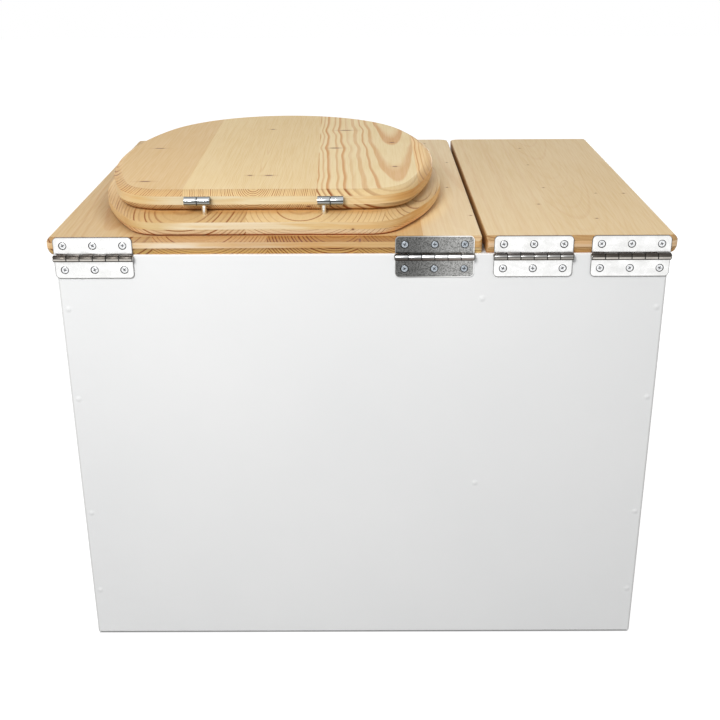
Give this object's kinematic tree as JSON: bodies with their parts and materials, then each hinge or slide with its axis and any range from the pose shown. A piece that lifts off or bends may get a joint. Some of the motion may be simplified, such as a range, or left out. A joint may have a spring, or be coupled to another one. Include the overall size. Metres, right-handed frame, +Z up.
{
  "type": "composting toilet",
  "caption": "White plywood box with two hinged pine boards: one with a D-shaped seat ring and lid above a bucket, one over a litter compartment.",
  "frame": {"origin": "centre of the bounding box, at the underside of the glides", "axes": "+Z up, front towards -Y, hinges at the rear on +Y, seat on the +X side and litter compartment on the -X side"},
  "size_m": [0.64, 0.507, 0.5215],
  "materials": {
    "white_paint": "smooth satin white paint on plywood",
    "white_plastic": "smooth",
    "painted_screw": "painted over in white",
    "oiled_pine": "oiled and lightly varnished glued pine",
    "dark_nylon": "smooth",
    "nickel_barrel": "bright nickel plate",
    "zinc_hinge": "zinc-plated pressed steel",
    "zinc_screw": "zinc-plated",
    "stainless_sheet": "brushed stainless sheet",
    "clear_bumper": "grey rubber",
    "black_plastic": "moulded, fine texture",
    "zinc_wire": "zinc-plated wire"
  },
  "bodies": {
    "box": {"back_panel": "white_paint", "front_panel": "white_paint", "seat_side_panel": "white_paint", "storage_side_panel": "white_paint", "partition": "white_paint", "floor_panel": "white_paint", "glide_1": "white_plastic", "glide_2": "white_plastic", "glide_3": "white_plastic", "glide_4": "white_plastic", "back_panel_screws": "painted_screw", "front_panel_screws": "painted_screw", "floor_screws": "painted_screw", "hinge_1_box_leaf": "zinc_hinge", "hinge_2_box_leaf": "zinc_hinge", "hinge_3_box_leaf": "zinc_hinge", "hinge_4_box_leaf": "zinc_hinge", "hinge_1_pin": "zinc_hinge", "hinge_2_pin": "zinc_hinge", "hinge_3_pin": "zinc_hinge", "hinge_4_pin": "zinc_hinge", "box_leaf_screws": "zinc_screw"},
    "seat_board": {"seat_board": "oiled_pine", "hinge_1_board_leaf": "zinc_hinge", "hinge_2_board_leaf": "zinc_hinge", "seat_board_leaf_screws": "zinc_screw", "seat_ring": "oiled_pine", "seat_ring_screws": "zinc_screw", "splash_guard": "stainless_sheet", "splash_guard_screws": "zinc_screw", "lid_hinge_1_ring_barrel": "nickel_barrel", "lid_hinge_2_ring_barrel": "nickel_barrel"},
    "seat_lid": {"seat_lid": "oiled_pine", "lid_bumpers": "clear_bumper", "lid_hinge_1_lid_barrel": "nickel_barrel", "lid_hinge_2_lid_barrel": "nickel_barrel", "lid_hinge_1_pin": "nickel_barrel", "lid_hinge_2_pin": "nickel_barrel", "lid_hinge_1_washer": "dark_nylon", "lid_hinge_2_washer": "dark_nylon"},
    "storage_board": {"storage_board": "oiled_pine", "hinge_3_board_leaf": "zinc_hinge", "hinge_4_board_leaf": "zinc_hinge", "storage_board_leaf_screws": "zinc_screw"},
    "bucket": {"bucket": "black_plastic"},
    "bail": {"bail": "zinc_wire", "bail_grip": "black_plastic"}
  },
  "joints": [
    {"name": "seat_board_hinge", "type": "hinge", "parent": "box", "child": "seat_board", "pos_m": [0.09925, 0.25, 0.4595], "axis": [-1, 0, 0], "range_deg": [0, 100]},
    {"name": "seat_lid_hinge", "type": "hinge", "parent": "seat_board", "child": "seat_lid", "pos_m": [0.09925, 0.22705, 0.5125], "axis": [-1, 0, 0], "range_deg": [0, 100]},
    {"name": "storage_board_hinge", "type": "hinge", "parent": "box", "child": "storage_board", "pos_m": [-0.23, 0.25, 0.4595], "axis": [-1, 0, 0], "range_deg": [0, 100]},
    {"name": "bucket_lift", "type": "slide", "parent": "box", "child": "bucket", "axis": [0, 0, 1], "range_m": [0, 0.025]},
    {"name": "bail_swing", "type": "hinge", "parent": "bucket", "child": "bail", "pos_m": [0.09925, 0.0015, 0.372], "axis": [-1, 0, 0], "range_deg": [0, 34]}
  ]
}
